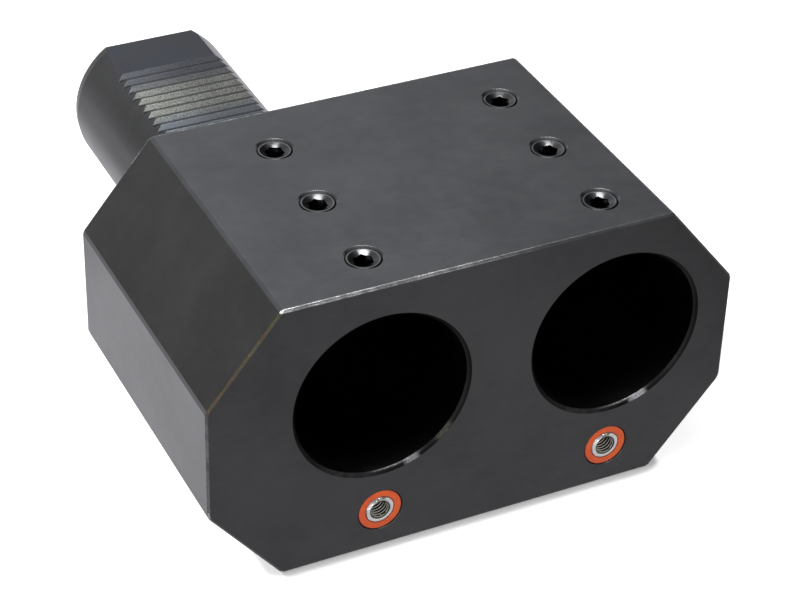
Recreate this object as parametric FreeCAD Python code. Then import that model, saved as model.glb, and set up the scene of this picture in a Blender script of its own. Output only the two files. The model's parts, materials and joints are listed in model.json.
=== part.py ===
import FreeCAD, Part

import math
import os

# Turret tool holder for two boring bars, in millimetres.
# Origin: on the shank's axis, in the face that meets the turret.
# +X points to the second bore, +Y along the shank away from the block, +Z up.
# Left is the bore on the shank's axis, right is the second bore.

# Shank
SHANK_D = 50.0
SHANK_LENGTH = 78.0
SHANK_LEAD_LENGTH = 3.0
SHANK_LEAD_DROP = 0.5
FLAT_HEIGHT = 20.1
RACK_START = 8.5
RACK_LAND = 17.5
TOOTH_PITCH = 4.0
TOOTH_CREST = 0.4
TOOTH_ROOT = 0.2
TOOTH_ANGLE = 90.0
CENTRE_HOLE_D = 5.0
CENTRE_HOLE_MOUTH_D = 12.0
CENTRE_HOLE_DEPTH = 9.0
CENTRE_HOLE_ANGLE = 60.0

# Block
BLOCK_DEPTH = 92.0
LEFT_REACH = 50.0
BOTTOM_REACH = 51.0
RIGHT_WALL = 11.0
TOP_WALL = 10.5
CORNER_RUN = 21.0
CORNER_RISE = 26.0
LONG_EDGE_BREAK = 0.7
FACE_EDGE_BREAK = 0.6

# Bores
BORE_D = 50.0
BORE_SPACING = 70.0
BORE_END_WALL = 8.0
BORE_RIM_BREAK = 1.0
RELIEF_DEPTH = 0.5
RELIEF_WIDTH = 3.0

# Clamp screws
SCREW_D = 10.0
SCREW_LENGTH = 8.0
SCREW_SUNK = 0.3
SCREW_FIRST = 14.0
SCREW_STEP = 29.0
SCREW_SOCKET = 5.0
SCREW_SOCKET_DEPTH = 4.4
SCREW_SOCKET_MOUTH_D = 8.2
SCREW_TOP_BREAK = 0.5
SCREW_POINT_BREAK = 1.1
SCREW_HOLE_MOUTH_D = 11.2

# Coolant nozzles
NOZZLE_WEB = 6.85
BALL_D = 11.0
BALL_FLAT = 3.9
BALL_THREAD_D = 6.0
BALL_THREAD_CORE_D = 5.0
RING_D = 13.2
RING_LENGTH = 5.5
RING_MOUTH_D = 8.5
RING_MOUTH_BREAK = 0.25
RING_SUNK = 0.3
NOZZLE_SEAL_SECTION = 1.8
NOZZLE_SEAL_D = 9.6

# Coolant passages
PASSAGE_D = 6.0
CROSS_PASSAGE_FROM_FRONT = 30.0
RISER_FROM_BORE_END = 6.0
DRILL_OVERRUN = 3.0
INLET_D = 8.0
INLET_DEPTH = 12.0
RISER_PLUG_D = 8.0
RISER_PLUG_LENGTH = 6.0
RISER_PLUG_SUNK = 0.5
RISER_PLUG_SOCKET = 4.0
CROSS_PLUG_D = 10.0
CROSS_PLUG_LENGTH = 8.0
CROSS_PLUG_SUNK = 1.0
CROSS_PLUG_SOCKET = 5.0
PLUG_SOCKET_DEPTH = 3.0
PLUG_BREAK = 0.6

# Seals in the turret face
SHANK_SEAL_SECTION = 3.0
SHANK_SEAL_GROOVE = 3.9
INLET_SEAL_SECTION = 2.0
INLET_SEAL_GROOVE = 2.4
SEAL_PROUD = 0.5

# Clearances, each on the radius
THREAD_GAP = 0.06
BALL_GAP = 0.1
RING_GAP = 0.04
SEAL_GAP = 0.05

# Places that follow from the sizes above
SHANK_R = SHANK_D / 2
BORE_R = BORE_D / 2
FRONT = -BLOCK_DEPTH
LEFT = -LEFT_REACH
RIGHT = BORE_SPACING + BORE_R + RIGHT_WALL
BOTTOM = -BOTTOM_REACH
TOP = BORE_R + TOP_WALL
BORE_END = -BORE_END_WALL
SOCKET_R = RING_D / 2 + RING_GAP
NOZZLE_Z = -(BORE_R + NOZZLE_WEB + SOCKET_R)
BALL_R = BALL_D / 2
BALL_SEAT_R = BALL_R + BALL_GAP
RING_FRONT = FRONT + RING_SUNK
RING_BACK = RING_FRONT + RING_LENGTH
BALL_Y = RING_FRONT + math.sqrt(BALL_SEAT_R**2 - (RING_MOUTH_D / 2) ** 2)
SEAL_TRACK_R = (NOZZLE_SEAL_D - NOZZLE_SEAL_SECTION) / 2
SEAL_REACH = BALL_SEAT_R + NOZZLE_SEAL_SECTION / 2
SEAL_Y = BALL_Y + math.sqrt(SEAL_REACH**2 - SEAL_TRACK_R**2)
SEAL_FLOOR = SEAL_Y + NOZZLE_SEAL_SECTION / 2
SEAL_SEAT_START = SEAL_Y - NOZZLE_SEAL_SECTION / 2
CROSS_Y = FRONT + CROSS_PASSAGE_FROM_FRONT
RISER_Y = BORE_END - RISER_FROM_BORE_END
SHANK_SEAL_WALL_R = SHANK_R + SHANK_SEAL_GROOVE
SHANK_SEAL_TRACK_R = SHANK_SEAL_WALL_R - SEAL_GAP - SHANK_SEAL_SECTION / 2
SHANK_SEAL_DEPTH = SHANK_SEAL_SECTION - SEAL_PROUD
INLET_SEAL_WALL_R = INLET_D / 2 + INLET_SEAL_GROOVE
INLET_SEAL_TRACK_R = INLET_SEAL_WALL_R - SEAL_GAP - INLET_SEAL_SECTION / 2
INLET_SEAL_DEPTH = INLET_SEAL_SECTION - SEAL_PROUD

SIDES = {"left": 0.0, "right": BORE_SPACING}
ROWS = ("front", "middle", "rear")

ALONG_X = FreeCAD.Vector(1, 0, 0)
ALONG_Y = FreeCAD.Vector(0, 1, 0)
ALONG_Z = FreeCAD.Vector(0, 0, 1)


def at(x, y, z):
    return FreeCAD.Vector(x, y, z)


def prism(points, along):
    """Closed outline through the points, pushed out along a vector."""
    return Part.Face(Part.makePolygon([*points, points[0]])).extrude(along)


def turned_y(profile, x, z):
    """Solid of revolution about a line along Y, from (radius, y) pairs."""
    outline = Part.makePolygon([at(x + r, y, z) for r, y in [*profile, profile[0]]])
    return Part.Face(outline).revolve(at(x, 0, z), ALONG_Y, 360)


def turned_z(profile, x, y):
    """Solid of revolution about a line along Z, from (radius, z) pairs."""
    outline = Part.makePolygon([at(x + r, y, z) for r, z in [*profile, profile[0]]])
    return Part.Face(outline).revolve(at(x, y, 0), ALONG_Z, 360)


def hexagon_z(across_flats, depth, x, y, z):
    """Hexagonal prism that stands on z, with a corner towards +X."""
    corner = across_flats / math.sqrt(3)
    turns = [math.radians(60 * i) for i in range(6)]
    points = [at(x + corner * math.cos(t), y + corner * math.sin(t), z) for t in turns]
    return prism(points, at(0, 0, depth))


def screw_places():
    """(name, x, y) of each clamp screw."""
    for side, x in SIDES.items():
        for row, name in enumerate(ROWS):
            yield f"{side}_{name}", x, FRONT + SCREW_FIRST + row * SCREW_STEP


def block():
    """Eight-sided block with its edges broken."""
    outline = [
        (LEFT + CORNER_RUN, BOTTOM),
        (RIGHT - CORNER_RUN, BOTTOM),
        (RIGHT, BOTTOM + CORNER_RISE),
        (RIGHT, TOP - CORNER_RISE),
        (RIGHT - CORNER_RUN, TOP),
        (LEFT + CORNER_RUN, TOP),
        (LEFT, TOP - CORNER_RISE),
        (LEFT, BOTTOM + CORNER_RISE),
    ]
    body = prism([at(x, FRONT, z) for x, z in outline], at(0, BLOCK_DEPTH, 0))
    long_edges = [e for e in body.Edges if abs(e.tangentAt(e.FirstParameter).y) > 0.5]
    body = body.makeChamfer(LONG_EDGE_BREAK, long_edges)
    rims = [e for e in body.Edges if abs(e.BoundBox.YLength) < 1e-6]
    return body.makeChamfer(FACE_EDGE_BREAK, rims)


def rack_cutter():
    """What is milled off the shank: the flat, and below it a row of V grooves."""
    depth = (TOOTH_PITCH - TOOTH_CREST - TOOTH_ROOT) / 2 / math.tan(math.radians(TOOTH_ANGLE / 2))
    slope = (TOOTH_PITCH - TOOTH_CREST - TOOTH_ROOT) / 2
    last = SHANK_LENGTH - RACK_LAND
    count = int((last - RACK_START + TOOTH_CREST) / TOOTH_PITCH)
    profile = [(SHANK_LENGTH + 1, SHANK_R + 1), (SHANK_LENGTH + 1, FLAT_HEIGHT)]
    for i in range(count):
        edge = last - i * TOOTH_PITCH
        profile.append((edge, FLAT_HEIGHT))
        profile.append((edge - slope, FLAT_HEIGHT - depth))
        profile.append((edge - slope - TOOTH_ROOT, FLAT_HEIGHT - depth))
        profile.append((edge - 2 * slope - TOOTH_ROOT, FLAT_HEIGHT))
    profile += [(RACK_START, FLAT_HEIGHT), (RACK_START, SHANK_R + 1)]
    side = -SHANK_R - 1
    return prism([at(side, y, z) for y, z in profile], at(-2 * side, 0, 0))


def holder_shank():
    """Straight shank: a full round root, then the clamped length with the flat and the rack."""
    end_r = SHANK_R - SHANK_LEAD_DROP
    bar = turned_y(
        [
            (0, -SHANK_SEAL_DEPTH),
            (SHANK_R, -SHANK_SEAL_DEPTH),
            (SHANK_R, RACK_START),
            (SHANK_R, SHANK_LENGTH - SHANK_LEAD_LENGTH),
            (end_r, SHANK_LENGTH),
            (0, SHANK_LENGTH),
        ],
        0,
        0,
    )
    # The turned faces start and end on this line, which the flat then takes away
    bar.rotate(at(0, 0, 0), ALONG_Y, -90)
    pilot_r = CENTRE_HOLE_D / 2
    mouth_r = CENTRE_HOLE_MOUTH_D / 2
    cone = (mouth_r - pilot_r) / math.tan(math.radians(CENTRE_HOLE_ANGLE / 2))
    centre_hole = turned_y(
        [
            (0, SHANK_LENGTH + 1),
            (mouth_r, SHANK_LENGTH + 1),
            (mouth_r, SHANK_LENGTH),
            (pilot_r, SHANK_LENGTH - cone),
            (pilot_r, SHANK_LENGTH - CENTRE_HOLE_DEPTH),
            (0, SHANK_LENGTH - CENTRE_HOLE_DEPTH - pilot_r),
        ],
        0,
        0,
    )
    return bar.cut(rack_cutter()).cut(centre_hole)


def bore_cutter(x):
    """Blind bore for a boring bar, with a broken rim and a relief at its closed end."""
    return turned_y(
        [
            (0, FRONT - 1),
            (BORE_R + BORE_RIM_BREAK, FRONT - 1),
            (BORE_R + BORE_RIM_BREAK, FRONT),
            (BORE_R, FRONT + BORE_RIM_BREAK),
            (BORE_R, BORE_END - RELIEF_WIDTH),
            (BORE_R + RELIEF_DEPTH, BORE_END - RELIEF_WIDTH),
            (BORE_R + RELIEF_DEPTH, BORE_END),
            (0, BORE_END),
        ],
        x,
        0,
    )


def screw_hole_cutter(x, y):
    """Tapped hole from the top face into the bore, countersunk at its mouth."""
    hole_r = SCREW_D / 2 + THREAD_GAP
    mouth_r = SCREW_HOLE_MOUTH_D / 2
    return turned_z(
        [
            (0, BORE_R / 2),
            (hole_r, BORE_R / 2),
            (hole_r, TOP - (mouth_r - hole_r)),
            (mouth_r, TOP),
            (mouth_r, TOP + 1),
            (0, TOP + 1),
        ],
        x,
        y,
    )


def nozzle_socket_cutter(x):
    """Stepped socket in the front face for the ring, the ball and the seal behind it."""
    ball_room_r = BALL_SEAT_R + BALL_GAP
    seal_room_r = NOZZLE_SEAL_D / 2 + SEAL_GAP
    return turned_y(
        [
            (0, FRONT - 1),
            (SOCKET_R + RING_MOUTH_BREAK, FRONT - 1),
            (SOCKET_R + RING_MOUTH_BREAK, FRONT),
            (SOCKET_R, FRONT + RING_MOUTH_BREAK),
            (SOCKET_R, RING_BACK),
            (ball_room_r, RING_BACK),
            (ball_room_r, SEAL_SEAT_START),
            (seal_room_r, SEAL_SEAT_START),
            (seal_room_r, SEAL_FLOOR),
            (0, SEAL_FLOOR),
        ],
        x,
        NOZZLE_Z,
    )


def riser_cutter(x):
    """Passage from the bottom face up into the bore, tapped at the bottom for its plug."""
    tapped_r = RISER_PLUG_D / 2 + THREAD_GAP
    tapped_top = BOTTOM + RISER_PLUG_SUNK + RISER_PLUG_LENGTH
    top = -BORE_R / 2
    return turned_z(
        [
            (0, BOTTOM - 1),
            (tapped_r, BOTTOM - 1),
            (tapped_r, tapped_top),
            (PASSAGE_D / 2, tapped_top),
            (PASSAGE_D / 2, top),
            (0, top),
        ],
        x,
        RISER_Y,
    )


def cross_plug_end():
    """x of the cross plug's outer end, where the sloped corner face has just cleared it."""
    lowest = NOZZLE_Z - CROSS_PLUG_D / 2
    return RIGHT - CORNER_RUN * (1 - (lowest - BOTTOM) / CORNER_RISE) - CROSS_PLUG_SUNK


def coolant_cutters():
    """Drilled passages: one behind each nozzle, one across, two risers and the inlet."""
    passage_r = PASSAGE_D / 2
    start = SEAL_FLOOR - 1
    cross_start = -passage_r
    plug_in = cross_plug_end() - CROSS_PLUG_LENGTH
    right = SIDES["right"]
    return [
        Part.makeCylinder(passage_r, -start, at(0, start, NOZZLE_Z), ALONG_Y),
        Part.makeCylinder(
            passage_r, RISER_Y + DRILL_OVERRUN - start, at(right, start, NOZZLE_Z), ALONG_Y
        ),
        Part.makeCylinder(
            passage_r, plug_in + 1 - cross_start, at(cross_start, CROSS_Y, NOZZLE_Z), ALONG_X
        ),
        Part.makeCylinder(
            CROSS_PLUG_D / 2 + THREAD_GAP, RIGHT - plug_in, at(plug_in, CROSS_Y, NOZZLE_Z), ALONG_X
        ),
        Part.makeCylinder(INLET_D / 2, INLET_DEPTH + 1, at(0, -INLET_DEPTH, NOZZLE_Z), ALONG_Y),
        *[riser_cutter(x) for x in SIDES.values()],
    ]


def seal_recess(wall_r, depth, z):
    """Round recess in the turret face that an O-ring lies in, against its wall."""
    return Part.makeCylinder(wall_r, depth + 1, at(0, -depth, z), ALONG_Y)


def holder_block():
    """Block with every hole that is machined into it; the shank grows from its seal recess."""
    body = block()
    cutters = [seal_recess(SHANK_SEAL_WALL_R, SHANK_SEAL_DEPTH, 0)]
    cutters += [bore_cutter(x) for x in SIDES.values()]
    cutters += [screw_hole_cutter(x, y) for _, x, y in screw_places()]
    cutters += [nozzle_socket_cutter(x) for x in SIDES.values()]
    cutters += coolant_cutters()
    cutters.append(seal_recess(INLET_SEAL_WALL_R, INLET_SEAL_DEPTH, NOZZLE_Z))
    for cutter in cutters:
        body = body.cut(cutter)
    return body.removeSplitter()


def clamp_screw(x, y):
    """Socket set screw with a flat point, over a bore."""
    top = TOP - SCREW_SUNK
    bottom = top - SCREW_LENGTH
    r = SCREW_D / 2
    stem = turned_z(
        [
            (0, bottom),
            (r - SCREW_POINT_BREAK, bottom),
            (r, bottom + SCREW_POINT_BREAK),
            (r, top - SCREW_TOP_BREAK),
            (r - SCREW_TOP_BREAK, top),
            (0, top),
        ],
        x,
        y,
    )
    socket = hexagon_z(SCREW_SOCKET, SCREW_SOCKET_DEPTH + 1, x, y, top - SCREW_SOCKET_DEPTH)
    mouth_r = SCREW_SOCKET_MOUTH_D / 2
    mouth = turned_z([(0, top - mouth_r / 2), (mouth_r, top), (mouth_r, top + 1), (0, top + 1)], x, y)
    return stem.cut(socket).cut(mouth)


def nozzle_ball(x):
    """Steel ball with a flat at the front and a threaded hole right through."""
    ball = Part.makeSphere(BALL_R, at(x, BALL_Y, NOZZLE_Z), ALONG_Y, -90, 90, 360)
    flat_y = BALL_Y - BALL_FLAT
    core_r = BALL_THREAD_CORE_D / 2
    mouth_r = BALL_THREAD_D / 2
    mouth_depth = mouth_r - core_r
    facing = Part.makeCylinder(BALL_D, BALL_R, at(x, flat_y - BALL_R, NOZZLE_Z), ALONG_Y)
    hole = turned_y(
        [
            (0, flat_y - 1),
            (mouth_r, flat_y - 1),
            (mouth_r, flat_y),
            (core_r, flat_y + mouth_depth),
            (core_r, BALL_Y + BALL_D),
            (0, BALL_Y + BALL_D),
        ],
        x,
        NOZZLE_Z,
    )
    return ball.cut(facing).cut(hole)


def nozzle_ring(x):
    """Ring pressed into the socket: a round seat that laps over the front of the ball."""
    collar = turned_y(
        [
            (0, RING_FRONT),
            (RING_D / 2 - RING_MOUTH_BREAK, RING_FRONT),
            (RING_D / 2, RING_FRONT + RING_MOUTH_BREAK),
            (RING_D / 2, RING_BACK),
            (0, RING_BACK),
        ],
        x,
        NOZZLE_Z,
    )
    seat = Part.makeSphere(BALL_SEAT_R, at(x, BALL_Y, NOZZLE_Z), ALONG_Y, -90, 90, 360)
    throat = Part.makeCylinder(BALL_SEAT_R, RING_LENGTH, at(x, BALL_Y, NOZZLE_Z), ALONG_Y)
    return collar.cut(seat).cut(throat)


def o_ring(track_r, section, x, y, z):
    """Round rubber ring about a line along Y."""
    return Part.makeTorus(track_r, section / 2, at(x, y, z), ALONG_Y)


def plug(diameter, length, socket):
    """Plug with a hexagon socket, standing on its inner end at the origin, socket up."""
    r = diameter / 2
    stem = turned_z(
        [
            (0, 0),
            (r - PLUG_BREAK, 0),
            (r, PLUG_BREAK),
            (r, length - PLUG_BREAK),
            (r - PLUG_BREAK, length),
            (0, length),
        ],
        0,
        0,
    )
    floor = length - PLUG_SOCKET_DEPTH
    return stem.cut(hexagon_z(socket, PLUG_SOCKET_DEPTH + 1, 0, 0, floor))


def riser_plug(x):
    """Plug in the bottom face, under a riser, with its socket downwards."""
    piece = plug(RISER_PLUG_D, RISER_PLUG_LENGTH, RISER_PLUG_SOCKET)
    piece.rotate(at(0, 0, 0), ALONG_X, 180)
    piece.translate(at(x, RISER_Y, BOTTOM + RISER_PLUG_SUNK + RISER_PLUG_LENGTH))
    return piece


def cross_plug():
    """Plug in the sloped corner face, at the open end of the cross passage."""
    piece = plug(CROSS_PLUG_D, CROSS_PLUG_LENGTH, CROSS_PLUG_SOCKET)
    piece.rotate(at(0, 0, 0), ALONG_Y, 90)
    piece.translate(at(cross_plug_end() - CROSS_PLUG_LENGTH, CROSS_Y, NOZZLE_Z))
    return piece


def pieces():
    """Every node of the holder, by name."""
    nodes = {"holder_block": holder_block(), "holder_shank": holder_shank()}
    for name, x, y in screw_places():
        nodes[f"clamp_screw_{name}"] = clamp_screw(x, y)
    for side, x in SIDES.items():
        nodes[f"nozzle_ball_{side}"] = nozzle_ball(x)
        nodes[f"nozzle_ring_{side}"] = nozzle_ring(x)
        nodes[f"nozzle_seal_{side}"] = o_ring(SEAL_TRACK_R, NOZZLE_SEAL_SECTION, x, SEAL_Y, NOZZLE_Z)
        nodes[f"riser_plug_{side}"] = riser_plug(x)
    nodes["cross_passage_plug"] = cross_plug()
    shank_seal_y = SHANK_SEAL_SECTION / 2 - SHANK_SEAL_DEPTH
    nodes["shank_o_ring"] = o_ring(SHANK_SEAL_TRACK_R, SHANK_SEAL_SECTION, 0, shank_seal_y, 0)
    inlet_seal_y = INLET_SEAL_SECTION / 2 - INLET_SEAL_DEPTH
    nodes["inlet_o_ring"] = o_ring(
        INLET_SEAL_TRACK_R, INLET_SEAL_SECTION, 0, inlet_seal_y, NOZZLE_Z
    )
    return nodes


os.makedirs("parts", exist_ok=True)
for node, shape in pieces().items():
    shape.exportStep(f"parts/{node}.step")
    print(node, len(shape.Solids), round(shape.Volume, 1), shape.isValid())
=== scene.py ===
import json
import logging
import math
from collections.abc import Callable, Sequence
from dataclasses import dataclass, field
from enum import Enum
from typing import ClassVar

import bmesh
import bpy
from mathutils import Euler, Matrix, Vector


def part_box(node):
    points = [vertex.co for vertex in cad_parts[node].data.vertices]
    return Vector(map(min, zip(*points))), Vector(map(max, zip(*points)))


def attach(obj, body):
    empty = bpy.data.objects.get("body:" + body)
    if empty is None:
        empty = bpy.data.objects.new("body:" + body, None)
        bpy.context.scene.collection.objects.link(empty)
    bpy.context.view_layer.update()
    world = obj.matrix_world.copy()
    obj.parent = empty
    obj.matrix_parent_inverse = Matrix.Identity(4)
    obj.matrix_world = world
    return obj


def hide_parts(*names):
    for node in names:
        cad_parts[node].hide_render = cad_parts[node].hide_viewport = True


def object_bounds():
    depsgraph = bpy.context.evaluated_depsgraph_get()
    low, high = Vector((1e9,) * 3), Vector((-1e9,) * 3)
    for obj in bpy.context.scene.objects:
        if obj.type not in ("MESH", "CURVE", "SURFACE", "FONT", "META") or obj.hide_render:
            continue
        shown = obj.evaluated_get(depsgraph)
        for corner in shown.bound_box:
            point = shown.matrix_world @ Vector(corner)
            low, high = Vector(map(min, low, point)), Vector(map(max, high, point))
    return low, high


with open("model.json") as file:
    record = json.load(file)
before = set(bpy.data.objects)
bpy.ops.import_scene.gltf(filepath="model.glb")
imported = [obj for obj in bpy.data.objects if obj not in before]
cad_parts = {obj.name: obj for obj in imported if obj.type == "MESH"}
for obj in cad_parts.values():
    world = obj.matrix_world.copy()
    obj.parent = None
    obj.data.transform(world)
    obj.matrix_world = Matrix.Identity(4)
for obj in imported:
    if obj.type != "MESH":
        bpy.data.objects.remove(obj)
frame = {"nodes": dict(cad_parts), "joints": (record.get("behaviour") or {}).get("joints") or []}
CAD_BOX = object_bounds()

# Dresses the turret tool holder: blackened block and shank, set screws, nozzles, plugs and seals.
# Lengths are in metres, and mm() turns a size in millimetres into one.

LOG = logging.getLogger("turret_tool_holder")

Colour = tuple[float, float, float, float]
Row = Callable[[float], tuple[float, float]]
Socket = bpy.types.NodeSocket
Tree = bpy.types.NodeTree
Feed = Socket | float | Sequence[float]
Layers = tuple[Feed, Feed, Feed]

WELD = 2e-7
CREASE = math.radians(24)

# Height of a face's normal above which it counts as level, and as turned upward.
LEVEL = 0.98
UPWARD = 0.4
UPRIGHT = (0.0, 0.0, 1.0)
WHITE = (1.0, 1.0, 1.0, 1.0)


def mm(length: float) -> float:
    """Metres from millimetres."""
    return length / 1000


def grey(level: float, blue: float = 0.0) -> Colour:
    """Near-grey colour, cooler by the given share of blue."""
    return (level * (1 - blue), level, level * (1 + blue), 1.0)


def toned(colour: Colour, factor: float) -> Colour:
    """Colour made darker or lighter."""
    return tuple(part * factor for part in colour[:3]) + (1.0,)


class Slot(Enum):
    """Material slots of the record."""

    BLACKENED_SCREW = "blackened_screw"
    POLISHED_STEEL = "polished_steel"
    ORANGE_PLASTIC = "orange_plastic"
    SEAL_RUBBER = "seal_rubber"


class Facing(Enum):
    """Directions that a turned piece's outer end points in."""

    UP = (0.0, 0.0, 1.0)
    DOWN = (0.0, 0.0, -1.0)
    RIGHT = (1.0, 0.0, 0.0)
    FRONT = (0.0, -1.0, 0.0)
    REAR = (0.0, 1.0, 0.0)

    def turn(self) -> Matrix:
        """Rotation that takes the Z axis to this direction."""
        return Vector((0, 0, 1)).rotation_difference(Vector(self.value)).to_matrix().to_4x4()


class Graph:
    """Lays out the nodes of one material or node group."""

    def __init__(self, tree: Tree) -> None:
        """Keeps the tree that the nodes go into."""
        self.tree = tree

    def feed(self, socket: Socket, value: Feed) -> None:
        """Links an input socket to an output, or sets its own value.

        Args:
            socket: The input socket.
            value: An output socket, or a plain value.
        """
        if isinstance(value, Socket):
            self.tree.links.new(value, socket)
        else:
            socket.default_value = value

    def add(self, kind: str, feeds: dict | None = None, **settings) -> bpy.types.Node:
        """Adds a shader node.

        Args:
            kind: The node's type, without its ShaderNode prefix.
            feeds: What goes into its sockets, by name or number.
            settings: The node's own properties.

        Returns:
            The new node.
        """
        node = self.tree.nodes.new("ShaderNode" + kind)
        for name, value in settings.items():
            setattr(node, name, value)
        for key, value in (feeds or {}).items():
            self.feed(node.inputs[key], value)
        return node

    def calc(self, operation: str, *values: Feed, clamp: bool = False) -> Socket:
        """Result of a Math node on one, two or three values."""
        return self.add("Math", dict(enumerate(values)), operation=operation, use_clamp=clamp).outputs[0]

    def vector(self, operation: str, *values: Feed, result: str = "Vector") -> Socket:
        """Result of a Vector Math node; dot products and lengths are under Value."""
        return self.add("VectorMath", dict(enumerate(values)), operation=operation).outputs[result]

    def times(self, *factors: Feed) -> Socket:
        """Product of two or more numbers.

        Args:
            factors: The numbers.

        Returns:
            The socket with the product.
        """
        product = factors[0]
        for factor in factors[1:]:
            product = self.calc("MULTIPLY", product, factor)
        return product

    def dot(self, first: Feed, second: Feed) -> Socket:
        """Dot product of two vectors."""
        return self.vector("DOT_PRODUCT", first, second, result="Value")

    def length(self, vector: Feed) -> Socket:
        """Length of a vector."""
        return self.vector("LENGTH", vector, result="Value")

    def scaled(self, vector: Feed, factor: Feed) -> Socket:
        """A vector times a number."""
        return self.add("VectorMath", {0: vector, "Scale": factor}, operation="SCALE").outputs[0]

    def parts(self, vector: Feed) -> bpy.types.NodeOutputs:
        """The X, Y and Z sockets of a vector."""
        return self.add("SeparateXYZ", {0: vector}).outputs

    def ramp(self, value: Feed, low: Feed, high: Feed, start: Feed = 0.0, end: Feed = 1.0) -> Socket:
        """Smooth step of a value, from start at low to end at high."""
        feeds = {"Value": value, "From Min": low, "From Max": high, "To Min": start, "To Max": end}
        return self.add("MapRange", feeds, interpolation_type="SMOOTHSTEP").outputs[0]

    def mix(self, share: Feed, first: Feed, second: Feed, blend: str = "MIX") -> Socket:
        """Blend of two colours by a share from 0 to 1."""
        node = self.add("Mix", {0: share, 6: first, 7: second}, data_type="RGBA", blend_type=blend)
        return node.outputs[2]

    def blend(self, share: Feed, first: Feed, second: Feed) -> Socket:
        """Blend of two numbers by a share from 0 to 1."""
        return self.add("Mix", {0: share, 2: first, 3: second}, data_type="FLOAT").outputs[0]

    def even(self, value: Feed) -> Socket:
        """Vector with one number three times."""
        return self.add("CombineXYZ", {0: value, 1: value, 2: value}).outputs[0]

    def noise(self, place: Feed, size: Feed, detail: float = 2.0, rough: float = 0.5) -> Socket:
        """Noise whose blotches are about the given size in metres.

        Args:
            place: Where it is read.
            size: Size of its blotches.
            detail: Number of finer layers in it.
            rough: Weight of the finer layers.

        Returns:
            The socket with the noise.
        """
        scale = self.calc("DIVIDE", 1.0, size)
        feeds = {"Vector": place, "Scale": scale, "Detail": detail, "Roughness": rough}
        return self.add("TexNoise", feeds).outputs[0]

    def place(self) -> Socket:
        """Object coordinates, which are the holder's own frame at rest."""
        return self.add("TexCoord").outputs["Object"]

    def reflected(self) -> tuple[Socket, Socket]:
        """Whether the ray is a reflection or goes through glass, and whether it is the camera's."""
        path = self.add("LightPath").outputs
        return self.calc("MAXIMUM", path["Is Glossy Ray"], path["Is Transmission Ray"]), path["Is Camera Ray"]

    def facing(self) -> Socket:
        """Surface normal in the piece's own frame."""
        return self.add("TexCoord").outputs["Normal"]


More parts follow.
